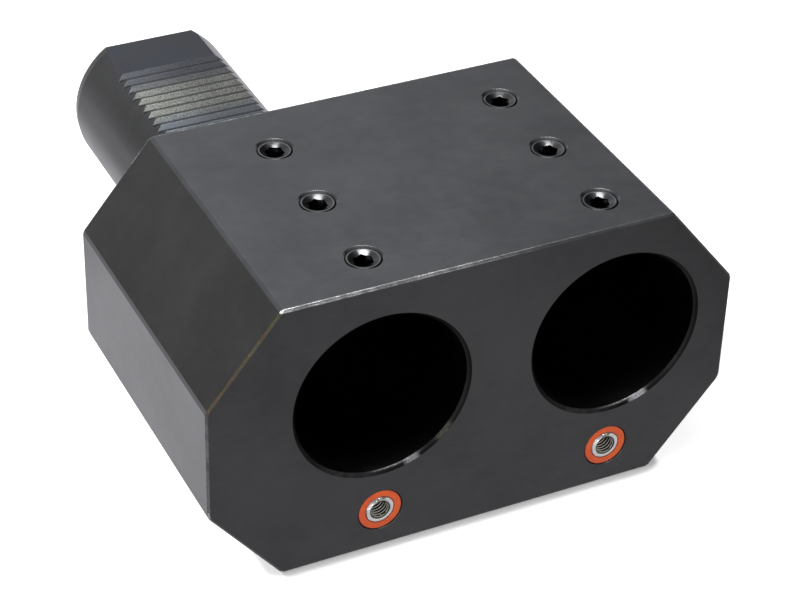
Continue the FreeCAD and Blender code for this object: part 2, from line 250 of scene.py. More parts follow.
class SharedEffects:
    """Node groups that more than one finish uses, each built once."""

    def __init__(self) -> None:
        """Builds every group."""
        self.mottle = self.build_mottle()
        self.grind = self.build_grind()
        self.edge_line = self.build_edge_line()
        self.edge_wear = self.build_edge_wear()
        self.specks = self.build_specks()

    @staticmethod
    def begin(name: str, inputs: dict[str, Feed], outputs: dict[str, str]) -> tuple:
        """Starts a group with its sockets.

        Args:
            name: The group's name.
            inputs: Default value of each input; three numbers make it a vector.
            outputs: Kind of each output, Float, Color or Vector.

        Returns:
            The group, its graph, its input sockets and its output node.
        """
        tree = bpy.data.node_groups.new(name, "ShaderNodeTree")
        for label, value in inputs.items():
            kind = "Float" if isinstance(value, float) else "Vector"
            socket = tree.interface.new_socket(label, in_out="INPUT", socket_type="NodeSocket" + kind)
            socket.default_value = value
        for label, kind in outputs.items():
            tree.interface.new_socket(label, in_out="OUTPUT", socket_type="NodeSocket" + kind)
        given = tree.nodes.new("NodeGroupInput").outputs
        result = tree.nodes.new("NodeGroupOutput")
        return tree, Graph(tree), given, result

    @staticmethod
    def use(graph: Graph, group: Tree, feeds: dict[str, Feed]) -> bpy.types.NodeOutputs:
        """Outputs of a group placed in a material, fed by the names of its inputs.

        Args:
            graph: The material's graph.
            group: The group to place.
            feeds: Values of its inputs, by name.

        Returns:
            The outputs of the placed group.
        """
        node = graph.add("Group", node_tree=group)
        for label, value in feeds.items():
            graph.feed(node.inputs[label], value)
        return node.outputs

    def clouds(self, graph: Graph, large: float, small: float) -> Socket:
        """Cloudy blotches of two sizes, from 0 to 1."""
        return self.use(graph, self.mottle, {"Large": large, "Small": small})["Value"]

    def lines(self, graph: Graph, *stretch: float) -> Socket:
        """Grinding lines drawn out along the axis whose share is small, from 0 to 1."""
        return self.use(graph, self.grind, {"Stretch": stretch})["Value"]

    def build_mottle(self) -> Tree:
        """Cloudy blotches of the blackening bath, large ones with small ones in them.

        Returns:
            The group.
        """
        tree, graph, given, result = self.begin(
            "oxide mottle", {"Large": mm(35), "Small": mm(5), "Small Share": 0.35}, {"Value": "Float"}
        )
        place = graph.place()
        large = graph.noise(place, given["Large"], 3.0, 0.55)
        small = graph.noise(place, given["Small"], 4.0, 0.6)
        graph.feed(result.inputs[0], graph.blend(given["Small Share"], large, small))
        return tree

    def build_grind(self) -> Tree:
        """Fine lines left by grinding, drawn out along one axis.

        Returns:
            The group.
        """
        tree, graph, given, result = self.begin(
            "grinding lines", {"Stretch": (0.02, 1.0, 1.0), "Width": mm(0.25)}, {"Value": "Float"}
        )
        place = graph.vector("MULTIPLY", graph.place(), given["Stretch"])
        graph.feed(result.inputs[0], graph.noise(place, given["Width"], 3.0, 0.65))
        return tree

    def build_edge_line(self) -> Tree:
        """Band along a straight edge, and how far along the edge each point is.

        Returns:
            The group.
        """
        tree, graph, given, result = self.begin(
            "edge line",
            {"Start": (0.0, 0.0, 0.0), "End": (1.0, 0.0, 0.0), "Reach": mm(0.6), "Fade": mm(0.2)},
            {"Mask": "Float", "Along": "Float"},
        )
        span = graph.vector("SUBTRACT", given["End"], given["Start"])
        offset = graph.vector("SUBTRACT", graph.place(), given["Start"])
        dot = graph.dot(offset, span)
        whole = graph.dot(span, span)
        along = graph.calc("DIVIDE", dot, whole, clamp=True)
        gap = graph.vector("SUBTRACT", offset, graph.scaled(span, along))
        distance = graph.length(gap)
        outer = graph.calc("ADD", given["Reach"], given["Fade"])
        graph.feed(result.inputs[0], graph.ramp(distance, given["Reach"], outer, 1.0, 0.0))
        graph.feed(result.inputs[1], along)
        return tree

    def build_edge_wear(self) -> Tree:
        """Rounded normal near edges, and a broken mask where the finish is rubbed there.

        Returns:
            The group.
        """
        tree, graph, given, result = self.begin(
            "edge wear",
            {"Radius": mm(0.4), "Patch": mm(3.0), "Cover": 0.5},
            {"Mask": "Float", "Normal": "Vector"},
        )
        bevel = graph.add("Bevel", {"Radius": given["Radius"]}, samples=6).outputs[0]
        flat = graph.add("NewGeometry").outputs["Normal"]
        alike = graph.dot(bevel, flat)
        edge = graph.ramp(alike, 0.995, 0.93)
        patch = graph.noise(graph.place(), given["Patch"], 4.0, 0.7)
        low = graph.calc("SUBTRACT", 1.0, given["Cover"])
        high = graph.calc("ADD", low, 0.15)
        graph.feed(result.inputs[0], graph.times(edge, graph.ramp(patch, low, high)))
        graph.feed(result.inputs[1], bevel)
        return tree

    def build_specks(self) -> Tree:
        """Small round specks of dust or bare metal, few and far apart.

        Returns:
            The group.
        """
        tree, graph, given, result = self.begin(
            "specks", {"Apart": mm(6.0), "Size": 0.05, "Share": 0.3}, {"Mask": "Float"}
        )
        scale = graph.calc("DIVIDE", 1.0, given["Apart"])
        cells = graph.add("TexVoronoi", {"Vector": graph.place(), "Scale": scale})
        dot = graph.ramp(cells.outputs["Distance"], given["Size"], graph.times(given["Size"], 0.5))
        pick = graph.parts(cells.outputs["Color"])[0]
        chosen = graph.calc("LESS_THAN", pick, given["Share"])
        graph.feed(result.inputs[0], graph.times(dot, chosen))
        return tree


@dataclass(frozen=True)
class Finish:
    """Colour and gloss of a surface; each kind of finish adds its own detail.

    Attributes:
        name: The material's name.
        colour: Base colour.
        roughness: Mean roughness.
        metallic: 1 for bare or blackened metal, 0 for plastic and rubber.
    """

    name: str
    colour: Colour
    roughness: float
    metallic: ClassVar[float] = 1.0

    def paint(self, graph: Graph, effects: SharedEffects) -> Layers:
        """Paints the surface.

        Args:
            graph: The material's graph.
            effects: The shared node groups.

        Returns:
            The colour, the roughness and the normal.
        """
        raise NotImplementedError

    def build(self, effects: SharedEffects) -> bpy.types.Material:
        """Makes the material.

        Args:
            effects: The shared node groups.

        Returns:
            The material.
        """
        material = bpy.data.materials.new(self.name)
        material.use_nodes = True
        graph = Graph(material.node_tree)
        sockets = material.node_tree.nodes["Principled BSDF"].inputs
        sockets["Metallic"].default_value = self.metallic
        sockets["Roughness"].default_value = self.roughness
        for label, value in zip(("Base Color", "Roughness", "Normal"), self.paint(graph, effects)):
            graph.feed(sockets[label], value)
        return material

    def gloss(self, graph: Graph, cloud: Feed, smooth: float, dull: float) -> Socket:
        """Roughness from one value to another as the blotches grow denser."""
        return graph.ramp(cloud, 0.3, 0.7, self.roughness + smooth, self.roughness + dull)

    @staticmethod
    def rubbed(
        graph: Graph, effects: SharedEffects, colour: Feed, share: float, bare: Colour, **feeds: float
    ) -> tuple[Socket, Socket]:
        """Colour that is rubbed bare along the edges, and the normal that is rounded there.

        Args:
            graph: The material's graph.
            effects: The shared node groups.
            colour: The colour under it.
            share: How far the rubbing goes.
            bare: Colour of the metal under the finish.
            feeds: Inputs of the edge wear group.

        Returns:
            The new colour and the normal.
        """
        wear = effects.use(graph, effects.edge_wear, feeds)
        return graph.mix(graph.times(wear["Mask"], share), colour, bare), wear["Normal"]

    @staticmethod
    def bump(
        graph: Graph, height: Feed, depth: float, strength: float, normal: Feed | None = None
    ) -> Socket:
        """Normal with a relief of the given depth, over another normal or the surface's own.

        Args:
            graph: The material's graph.
            height: Relief from 0 to 1.
            depth: Depth of the relief in metres.
            strength: Share of the relief that shows.
            normal: Normal under it, if it isn't the surface's own.

        Returns:
            The socket with the new normal.
        """
        feeds = {"Height": height, "Distance": depth, "Strength": strength}
        if normal is not None:
            feeds["Normal"] = normal
        return graph.add("Bump", feeds).outputs[0]


@dataclass(frozen=True)
class EdgeTint:
    """Stretch of an edge where the finish looks unlike the faces beside it.

    Attributes:
        start: One end of the edge's middle line.
        end: The other end.
        reach: Half width of the band.
        colour: Colour of the metal there.
        other: Second colour, which the first gives way to in patches.
        strength: Share of the band that shows the colour, at the start and at the end.
        fade: Where along the edge the strength begins and stops changing.
        grain: Size of the grains that break it up.
    """

    start: Vector
    end: Vector
    reach: float
    colour: Colour
    other: Colour
    strength: tuple[float, float]
    fade: tuple[float, float] = (0.0, 1.0)
    grain: float = mm(0.4)


@dataclass(frozen=True)
class RimPatch:
    """Stretch of a hole's rim that isn't as dark as the rest.

    Attributes:
        angle: Where its middle is, in degrees up from the right.
        spread: Degrees to either side over which it fades.
        colour: Its colour.
        grain: Size of the grains that break it up.
        inner: Whether it keeps to the rim's inner line.
    """

    angle: float
    spread: float
    colour: Colour
    grain: float = mm(0.5)
    inner: bool = False


@dataclass(frozen=True)
class RimShadeAndWear:
    """Broken rim of a hole in the front face, in painted shade, with worn metal and painted highlights in
    places.

    Attributes:
        centre: Middle of the hole, in the face.
        radius: Middle radius of the band.
        reach: Half width of the band.
        patches: The worn places.
    """

    centre: Vector
    radius: float
    reach: float
    patches: tuple[RimPatch, ...]


@dataclass(frozen=True)
class RoundPattern:
    """Round features at even steps, such as the screw holes or the nozzles.

    Attributes:
        first: Middle of the first one.
        steps: Distance between them along X, Y and Z, 0 where they aren't repeated.
        plane: 1 for each axis that lies in their plane, 0 for the one that doesn't.
    """

    first: Vector
    steps: Vector
    plane: Vector

    def offset(self, graph: Graph) -> Socket:
        """Vector from the nearest middle, in the plane.

        Args:
            graph: The material's graph.

        Returns:
            The socket with the vector.
        """
        away = graph.parts(graph.vector("SUBTRACT", graph.place(), self.first))
        folded = {
            axis: graph.calc("WRAP", part, step / 2, -step / 2) if step else part
            for axis, (part, step) in enumerate(zip(away, self.steps))
        }
        return graph.vector("MULTIPLY", graph.add("CombineXYZ", folded).outputs[0], self.plane)

    def distance(self, graph: Graph) -> Socket:
        """Distance from the nearest middle, in the plane."""
        return graph.length(self.offset(graph))


@dataclass(frozen=True)
class BlackenedSteel(Finish):
    """Black oxide on ground steel, rubbed at its edges.

    Attributes:
        tints: Edges that show bare or straw-coloured metal.
        rims: Round edges in painted shade, with worn metal and painted highlights in places.
        mouths: Screw holes whose breaks are rubbed smooth into the top face.
        mouth_radius: Outer radius of those breaks.
        mottle: Share by which the blotches change the colour.
        rounding: Radius that light sees on a sharp edge.
        rubbing: How far plain edges are rubbed bare.
        dust: Colour of the specks of dust.
        shade: Direction that a break's shaded side faces.
    """

    tints: tuple[EdgeTint, ...] = ()
    rims: tuple[RimShadeAndWear, ...] = ()
    mouths: RoundPattern | None = None
    mouth_radius: float = mm(5.6)
    mottle: float = 0.12
    rounding: float = mm(0.3)
    rubbing: ClassVar[float] = 0.3
    dust: ClassVar[Colour] = grey(0.2)
    shade: ClassVar[Sequence[float]] = (-0.5, -0.87, 0.0)

    def paint(self, graph: Graph, effects: SharedEffects) -> Layers:
        """Oxide with ground lines, rubbed edges, dust, tinted edges, and rims in painted shade.

        Args:
            graph: The material's graph.
            effects: The shared node groups.

        Returns:
            The colour, the roughness and the normal.
        """
        cloud = effects.clouds(graph, mm(35), mm(5))
        across = effects.lines(graph, 0.02, 1.0, 1.0)
        along = effects.lines(graph, 1.0, 0.02, 1.0)
        sideways = graph.calc("ABSOLUTE", graph.parts(graph.facing())[0])
        lines = graph.blend(sideways, across, along)
        colour = self.oxide(graph, cloud, lines)
        feeds = {"Radius": self.rounding, "Cover": 0.42}
        colour, rounded = self.rubbed(graph, effects, colour, self.rubbing, grey(0.13), **feeds)
        dust = graph.times(effects.use(graph, effects.specks, {})["Mask"], 0.3)
        colour = graph.mix(dust, colour, self.dust)
        bare = None
        for tint in self.tints:
            colour, mask = self.tinted(graph, effects, colour, tint)
            bare = mask if bare is None else graph.calc("MAXIMUM", bare, mask)
        for rim in self.rims:
            colour = self.rim_shaded_and_worn(graph, colour, rim)
        streaks = graph.ramp(lines, 0.2, 0.8, -0.03, 0.03)
        gloss = graph.calc("ADD", self.gloss(graph, cloud, -0.04, 0.04), streaks)
        relief = self.bump(graph, lines, mm(0.01), 0.25, rounded)
        if self.mouths is not None:
            relief = self.rubbed_mouths(graph, relief, self.mouths)
        if bare is not None:
            grains = graph.noise(graph.place(), mm(0.3), 2.0)
            relief = self.bump(graph, graph.times(grains, bare), mm(0.12), 0.8, relief)
        return colour, gloss, relief

    @staticmethod
    def rim_shaded_and_worn(graph: Graph, colour: Feed, rim: RimShadeAndWear) -> Socket:
        """Lays a band of painted shade over the rim of a hole, with worn, olive and painted-highlight
        patches.

        Args:
            graph: The material's graph.
            colour: The colour under it.
            rim: The rim.

        Returns:
            The new colour.
        """
        offset = graph.vector("SUBTRACT", graph.place(), rim.centre)
        flat = graph.vector("MULTIPLY", offset, (1.0, 0.0, 1.0))
        beyond = graph.calc("SUBTRACT", graph.length(flat), rim.radius)
        depth = graph.calc("ABSOLUTE", graph.parts(offset)[1])
        band = graph.ramp(graph.calc("ABSOLUTE", beyond), rim.reach, rim.reach + mm(0.1), 1.0, 0.0)
        band = graph.times(band, graph.calc("LESS_THAN", depth, rim.reach * 2))
        outer = graph.ramp(beyond, mm(-0.15), mm(0.15))
        inner = graph.ramp(beyond, mm(-0.3), mm(-0.1), 1.0, 0.0)
        # Painted shade: the rim's break is drawn near black, darkest at its outer line.
        shaded_chamfer = graph.mix(outer, grey(0.018), grey(0.01))
        toward = graph.vector("NORMALIZE", flat)
        for patch in rim.patches:
            turn = math.radians(patch.angle)
            direction = (math.cos(turn), 0.0, math.sin(turn))
            side = graph.dot(toward, direction)
            near = graph.ramp(side, math.cos(math.radians(patch.spread)), 1.0)
            grains = graph.ramp(graph.noise(graph.place(), patch.grain, 3.0, 0.7), 0.35, 0.6, 0.35, 1.0)
            share = graph.times(near, grains)
            if patch.inner:
                share = graph.times(share, inner)
            shaded_chamfer = graph.mix(share, shaded_chamfer, patch.colour)
        return graph.mix(band, colour, shaded_chamfer)

    def rubbed_mouths(self, graph: Graph, normal: Feed, mouths: RoundPattern) -> Socket:
        """Turns the breaks of the screw holes into the top face, all but their shaded side.

        Args:
            graph: The material's graph.
            normal: Normal under it.
            mouths: The holes.

        Returns:
            The new normal.
        """
        near = graph.calc("LESS_THAN", mouths.distance(graph), self.mouth_radius + mm(0.1))
        height = graph.parts(graph.place())[2]
        high = graph.calc("GREATER_THAN", height, mouths.first.z - mm(0.8))
        facing = graph.facing()
        above = graph.calc("GREATER_THAN", graph.parts(facing)[2], UPWARD)
        shaded = graph.dot(facing, self.shade)
        share = graph.times(graph.ramp(shaded, 0.0, 0.4, 1.0, 0.0), near, high, above)
        feeds = {0: share, 4: normal, 5: UPRIGHT}
        turned = graph.add("Mix", feeds, data_type="VECTOR").outputs[1]
        return graph.vector("NORMALIZE", turned)

    def oxide(self, graph: Graph, cloud: Feed, lines: Feed) -> Socket:
        """Base colour of the oxide with its blotches and lines.

        Args:
            graph: The material's graph.
            cloud: The blotches.
            lines: The ground lines.

        Returns:
            The socket with the colour.
        """
        dark = toned(self.colour, 1 - self.mottle)
        light = toned(self.colour, 1 + self.mottle)
        colour = graph.mix(graph.ramp(cloud, 0.32, 0.68), dark, light)
        shade = graph.ramp(lines, 0.25, 0.75, 0.94, 1.06)
        return graph.mix(1.0, colour, graph.even(shade), "MULTIPLY")

    @staticmethod
    def tinted(graph: Graph, effects: SharedEffects, colour: Feed, tint: EdgeTint) -> tuple:
        """Lays one edge's colour over the finish.

        Args:
            graph: The material's graph.
            effects: The shared node groups.
            colour: The colour under it.
            tint: The edge.

        Returns:
            The new colour, and the mask of the edge.
        """
        feeds = {"Start": tint.start, "End": tint.end, "Reach": tint.reach}
        line = effects.use(graph, effects.edge_line, feeds)
        grains = graph.noise(graph.place(), tint.grain, 3.0, 0.7)
        level = graph.ramp(line["Along"], *tint.fade, *tint.strength)
        broken = graph.times(graph.ramp(grains, 0.4, 0.6, 0.12, 1.0), level)
        mask = graph.times(line["Mask"], broken)
        patches = graph.ramp(graph.noise(graph.place(), mm(3.5), 1.0), 0.4, 0.6)
        return graph.mix(mask, colour, graph.mix(patches, tint.colour, tint.other)), mask


@dataclass(frozen=True)
class RackSteel(BlackenedSteel):
    """Blackened shank steel whose milled rack is grainier and paler than the flat.

    Attributes:
        rack: First and last y of the rack.
        pitch: Distance between its teeth.
        crest: Width of a tooth's crest.
        flat: Colour of the flat, darker as painted shade.
        stain: Bluish colour that the flat has in places.
        warm: Colour of the grain in the middle of the rack.
        cool: Colour of the grain at the block's end of it.
        dim: Colour of the grain at its other end.
        grain: Size of the grain.
        painted_shade: Colour of the oily dirt and painted shade on its crests and in its grooves.
    """

    rack: tuple[float, float] = (0.0, 1.0)
    pitch: float = mm(4)
    crest: float = mm(0.4)
    flat: Colour = (0.034, 0.0342, 0.0345, 1.0)
    stain: Colour = (0.031, 0.034, 0.042, 1.0)
    warm: Colour = (0.096, 0.098, 0.09, 1.0)
    cool: Colour = (0.066, 0.072, 0.08, 1.0)
    dim: Colour = (0.041, 0.043, 0.048, 1.0)
    grain: float = mm(0.38)
    painted_shade: ClassVar[Colour] = grey(0.017)

    def paint(self, graph: Graph, effects: SharedEffects) -> Layers:
        """Oxide with a stained flat in painted shade, the grain of the rack, and oily dirt and painted shade
        in its grooves.

        Args:
            graph: The material's graph.
            effects: The shared node groups.

        Returns:
            The colour, the roughness and the normal.
        """
        cloud = effects.clouds(graph, mm(24), mm(4))
        lines = effects.lines(graph, 1.0, 0.03, 1.0)
        colour = self.oxide(graph, cloud, lines)
        place = graph.parts(graph.place())
        facing = graph.parts(graph.facing())
        patches = graph.ramp(graph.noise(graph.place(), mm(16), 2.0), 0.42, 0.58)
        # Painted shade: faces that point up take the darker colour of the flat, with its bluish stains.
        level = graph.calc("GREATER_THAN", facing[2], LEVEL)
        colour = graph.mix(level, colour, graph.mix(patches, self.flat, self.stain))
        feeds = {"Radius": self.rounding, "Cover": 0.5}
        colour, rounded = self.rubbed(graph, effects, colour, self.rubbing, grey(0.15), **feeds)
        middle = (self.rack[0] + self.rack[1]) / 2
        half = (self.rack[1] - self.rack[0]) / 2
        offset = graph.calc("ABSOLUTE", graph.calc("SUBTRACT", place[1], middle))
        within = graph.calc("LESS_THAN", offset, half + mm(0.1))
        slope = graph.ramp(graph.calc("ABSOLUTE", facing[1]), 0.4, 0.6)
        above = graph.calc("GREATER_THAN", facing[2], UPWARD)
        facet = graph.times(slope, above, within)
        rear_end = graph.ramp(place[1], self.rack[1] - mm(15), self.rack[1] - mm(5))
        front_end = graph.ramp(place[1], self.rack[0] + mm(20), self.rack[0] + mm(27), 1.0, 0.0)
        toward_end = graph.calc("MAXIMUM", rear_end, front_end)
        tint = graph.mix(rear_end, graph.mix(front_end, self.warm, self.cool), self.dim)
        grains = graph.noise(graph.place(), self.grain, 3.0, 0.75)
        contrast = graph.ramp(toward_end, 0.0, 1.0, 0.45, 0.25)
        lowest, highest = graph.calc("SUBTRACT", 1.0, contrast), graph.calc("ADD", 1.0, contrast)
        speckle = graph.ramp(grains, 0.36, 0.64, lowest, highest)
        speckle = graph.times(speckle, graph.ramp(place[0], mm(-17), mm(8), 1.5, 0.85))
        milled = graph.mix(1.0, tint, graph.even(speckle), "MULTIPLY")
        colour = graph.mix(facet, colour, milled)
        # Oily dirt and painted shade on the crests and in the grooves of the rack.
        cut = graph.times(graph.calc("MAXIMUM", level, slope), within)
        grooves = graph.times(self.groove_mask(graph, place[1]), cut)
        colour = graph.mix(grooves, colour, self.painted_shade)
        gloss = graph.blend(facet, self.gloss(graph, cloud, -0.04, 0.04), 0.5)
        relief = self.bump(graph, lines, mm(0.01), 0.25, rounded)
        return colour, gloss, self.bump(graph, graph.times(grains, facet), mm(0.08), 0.7, relief)

    def groove_mask(self, graph: Graph, along: Feed) -> Socket:
        """Share of oily dirt and shadow on the rack's crests and in its grooves, by the place along it.

        Args:
            graph: The material's graph.
            along: Distance along the shank.

        Returns:
            The socket with the share.
        """
        gone = graph.calc("SUBTRACT", self.rack[1], along)
        phase = graph.calc("FRACT", graph.calc("DIVIDE", gone, self.pitch))
        crest = graph.calc("GREATER_THAN", phase, 1 - self.crest / self.pitch)
        root = graph.calc("MINIMUM", graph.ramp(phase, 0.26, 0.36), graph.ramp(phase, 0.5, 0.6, 1.0, 0.0))
        return graph.calc("MAXIMUM", crest, root)


@dataclass(frozen=True)
class OiledScrewSteel(Finish):
    """Black oxide on a small turned part, oily and shiny, with painted shade in its recesses.

    Attributes:
        screws: Set screws whose outer edge is drawn dark as painted shade, where the gap round it lies.
        edge_radius: Radius beyond which it is.
        reach: Depth below the top face within which the set screws lie.
    """

    screws: RoundPattern | None = None
    edge_radius: float = mm(4.5)
    reach: float = mm(14)

    def paint(self, graph: Graph, effects: SharedEffects) -> Layers:
        """Blotched oxide with rubbed edges and painted shade round the set screws.

        Args:
            graph: The material's graph.
            effects: The shared node groups.

        Returns:
            The colour, the roughness and the normal.
        """
        cloud = effects.clouds(graph, mm(3), mm(0.6))
        shades = (toned(self.colour, 0.8), toned(self.colour, 1.25))
        colour = graph.mix(graph.ramp(cloud, 0.3, 0.7), *shades)
        feeds = {"Radius": mm(0.12), "Patch": mm(1.0), "Cover": 0.5}
        colour, rounded = self.rubbed(graph, effects, colour, 0.6, grey(0.3), **feeds)
        if self.screws is not None:
            # Painted shade: the set screw's outer edge, where the gap round it lies, is drawn near black.
            oiled_and_shaded = graph.ramp(self.screws.distance(graph), self.edge_radius, self.edge_radius + mm(0.12))
            depth = graph.calc("SUBTRACT", self.screws.first.z, graph.parts(graph.place())[2])
            oiled_and_shaded = graph.times(oiled_and_shaded, graph.calc("LESS_THAN", depth, self.reach))
            colour = graph.mix(oiled_and_shaded, colour, grey(0.01))
        relief = self.bump(graph, cloud, mm(0.02), 0.3, rounded)
        return colour, self.gloss(graph, cloud, -0.05, 0.08), relief


@dataclass(frozen=True)
class PolishedSteel(Finish):
    """Bright turned and polished steel, clouded, with painted shade on the top of the ball's front.

    Attributes:
        domes: Balls whose front is polished round.
        crest: Distance from the middle beyond which the metal is drawn dark as painted shade.
        painted_shade: Share of the colour left beyond the crest.
        lit: Direction of the side that the light catches.
        painted_top_shade: Brownish colour of the painted shade on the top of the ball's front.
    """

    domes: RoundPattern | None = None
    crest: float | None = None
    painted_shade: float = 0.12
    lit: ClassVar[Sequence[float]] = (-0.64, 0.0, 0.77)
    painted_top_shade: ClassVar[Colour] = (0.2, 0.17, 0.12, 1.0)

    def paint(self, graph: Graph, effects: SharedEffects) -> Layers:
        """Clouded metal with soft edges.

        Args:
            graph: The material's graph.
            effects: The shared node groups.

        Returns:
            The colour, the roughness and the normal.
        """
        cloud = effects.clouds(graph, mm(4), mm(0.4))
        colour = graph.mix(graph.ramp(cloud, 0.35, 0.65), toned(self.colour, 0.82), self.colour)
        wear = effects.use(graph, effects.edge_wear, {"Radius": mm(0.08)})
        normal = self.bump(graph, cloud, mm(0.02), 0.25, wear["Normal"])
        if self.domes is not None:
            colour, normal = self.domed(graph, colour, normal, self.domes)
        return colour, self.gloss(graph, cloud, -0.05, 0.06), normal

    def domed(self, graph: Graph, colour: Feed, normal: Feed, domes: RoundPattern) -> tuple:
        """Rounds the ball's front, and darkens its top and what lies beyond the crest, both as painted shade.

        Args:
            graph: The material's graph.
            colour: Colour under it.
            normal: Normal under it.
            domes: The balls.

        Returns:
            The new colour and the new normal.
        """
        offset = domes.offset(graph)
        distance = graph.length(offset)
        if self.crest is not None:
            # Painted shade: the thread beyond its crest is drawn dark.
            deep = graph.ramp(distance, self.crest, self.crest + mm(0.2))
            return graph.mix(deep, colour, toned(self.colour, self.painted_shade)), normal
        front = graph.calc("GREATER_THAN", graph.times(graph.parts(graph.facing())[1], -1.0), 0.6)
        toward = graph.vector("NORMALIZE", offset)
        upper_left = graph.dot(toward, self.lit)
        outward = graph.ramp(distance, mm(3.0), mm(4.3), 0.7, 1.2)
        tilt = graph.times(outward, front, graph.ramp(upper_left, 0.0, 0.75, 0.12, 1.0))
        rounded = graph.vector("NORMALIZE", graph.vector("ADD", normal, graph.scaled(toward, tilt)))
        # Painted shade: the top of the ball's front is drawn brownish and darker.
        top = graph.ramp(graph.parts(toward)[2], 0.75, 0.98)
        share = graph.ramp(graph.noise(graph.place(), mm(1.2), 2.0), 0.35, 0.6, 0.3, 0.8)
        return graph.mix(graph.times(top, share), colour, self.painted_top_shade), rounded


@dataclass(frozen=True)
class MouldedPlastic(Finish):
    """Satin moulded plastic, a little uneven in colour, with painted shade in the gaps round it.

    Attributes:
        pieces: Where the rings sit.
        bounds: Radii beyond which a ring is drawn dark as painted shade, at its mouth and at its wall.
        painted_shade: Colour of the shade painted in those gaps.
    """

    pieces: RoundPattern
    bounds: tuple[float, float]
    metallic: ClassVar[float] = 0.0
    painted_shade: ClassVar[Colour] = (0.05, 0.009, 0.004, 1.0)

    def paint(self, graph: Graph, effects: SharedEffects) -> Layers:
        """Uneven colour, with painted shade at the mouth and at the wall.

        Args:
            graph: The material's graph.
            effects: The shared node groups.

        Returns:
            The colour, the roughness and the normal.
        """
        cloud = effects.clouds(graph, mm(5), mm(0.8))
        dark = (self.colour[0] * 0.86, self.colour[1] * 0.72, self.colour[2] * 0.8, 1.0)
        colour = graph.mix(graph.ramp(cloud, 0.35, 0.65), dark, self.colour)
        wear = effects.use(graph, effects.edge_wear, {"Radius": mm(0.2), "Patch": mm(2.0), "Cover": 0.7})
        distance = self.pieces.distance(graph)
        inner, outer = self.bounds
        # Painted shade: the ring is drawn dark red at its wall and at its mouth, where the gaps lie.
        wall = graph.ramp(distance, outer - mm(0.12), outer + mm(0.12))
        mouth = graph.ramp(distance, inner - mm(0.08), inner + mm(0.12), 0.8, 0.0)
        colour = graph.mix(graph.calc("MAXIMUM", wall, mouth), colour, self.painted_shade)
        relief = self.bump(graph, cloud, mm(0.04), 0.3, wear["Normal"])
        return colour, self.gloss(graph, cloud, -0.06, 0.06), relief


@dataclass(frozen=True)
class SealRubber(Finish):
    """Black nitrile rubber with a fine bloom."""

    metallic: ClassVar[float] = 0.0

    def paint(self, graph: Graph, effects: SharedEffects) -> Layers:
        """Black with the bloom in clouds.

        Args:
            graph: The material's graph.
            effects: The shared node groups.

        Returns:
            The colour, the roughness and the normal.
        """
        cloud = effects.clouds(graph, mm(6), mm(0.3))
        colour = graph.mix(graph.ramp(cloud, 0.4, 0.75), self.colour, toned(self.colour, 2.2))
        return colour, self.gloss(graph, cloud, -0.1, 0.1), self.bump(graph, cloud, mm(0.03), 0.5)


def node_box(node: str) -> tuple[Vector, Vector]:
    """Lowest and highest corner of a node."""
    low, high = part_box(node)
    return Vector(low), Vector(high)


def show(item: bpy.types.Object) -> bpy.types.Object:
    """Puts an object in the scene."""
    bpy.context.scene.collection.objects.link(item)
    return item


def circle(radius: float, height: float) -> Row:
    """Row of points on a plain circle."""
    return lambda angle: (radius, height)


def turned_mesh(name: str, rows: Sequence[Row], columns: int, inner: Sequence[Row] = ()) -> bpy.types.Mesh:
    """Skin through rows of points round the Z axis, welded where rows meet.

    Args:
        name: The mesh's name.
        rows: Radius and height of each row at an angle, from one end of the outline to the other.
        columns: Number of steps round the axis.
        inner: Further rows, whose faces take the piece's second material.

    Returns:
        The mesh, smooth but for its creases.
    """
    bm = bmesh.new()
    grid = []
    for row in (*rows, *inner):
        ring = []
        for step in range(columns + 1):
            angle = math.tau * step / columns
            radius, height = row(angle)
            ring.append(bm.verts.new((radius * math.cos(angle), radius * math.sin(angle), height)))
        grid.append(ring)
    for count, (lower, upper) in enumerate(zip(grid, grid[1:])):
        for step in range(columns):
            face = bm.faces.new((lower[step], lower[step + 1], upper[step + 1], upper[step]))
            face.material_index = int(count + 1 >= len(rows))
    bmesh.ops.remove_doubles(bm, verts=bm.verts[:], dist=WELD)
    bmesh.ops.dissolve_degenerate(bm, dist=WELD, edges=bm.edges[:])
    bmesh.ops.recalc_face_normals(bm, faces=bm.faces[:])
    mesh = bpy.data.meshes.new(name)
    bm.to_mesh(mesh)
    bm.free()
    mesh.shade_smooth()
    mesh.set_sharp_from_angle(angle=CREASE)
    return mesh


def dressed_piece(
    name: str, mesh: bpy.types.Mesh, materials: Sequence[bpy.types.Material], body: str, node: str
) -> bpy.types.Object:
    """Puts a mesh in the scene in place of a node.

    Args:
        name: The piece's name.
        mesh: Its mesh, already in place.
        materials: Its finish, and that of its inner faces if they have another.
        body: The body that it rides on.
        node: The node that it stands for.

    Returns:
        The new object.
    """
    piece = show(bpy.data.objects.new(name, mesh))
    for material in materials:
        piece.data.materials.append(material)
    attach(piece, body)
    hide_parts(node)
    LOG.info("%s: %d faces, rides on %s, stands for %s", name, len(mesh.polygons), body, node)
    return piece


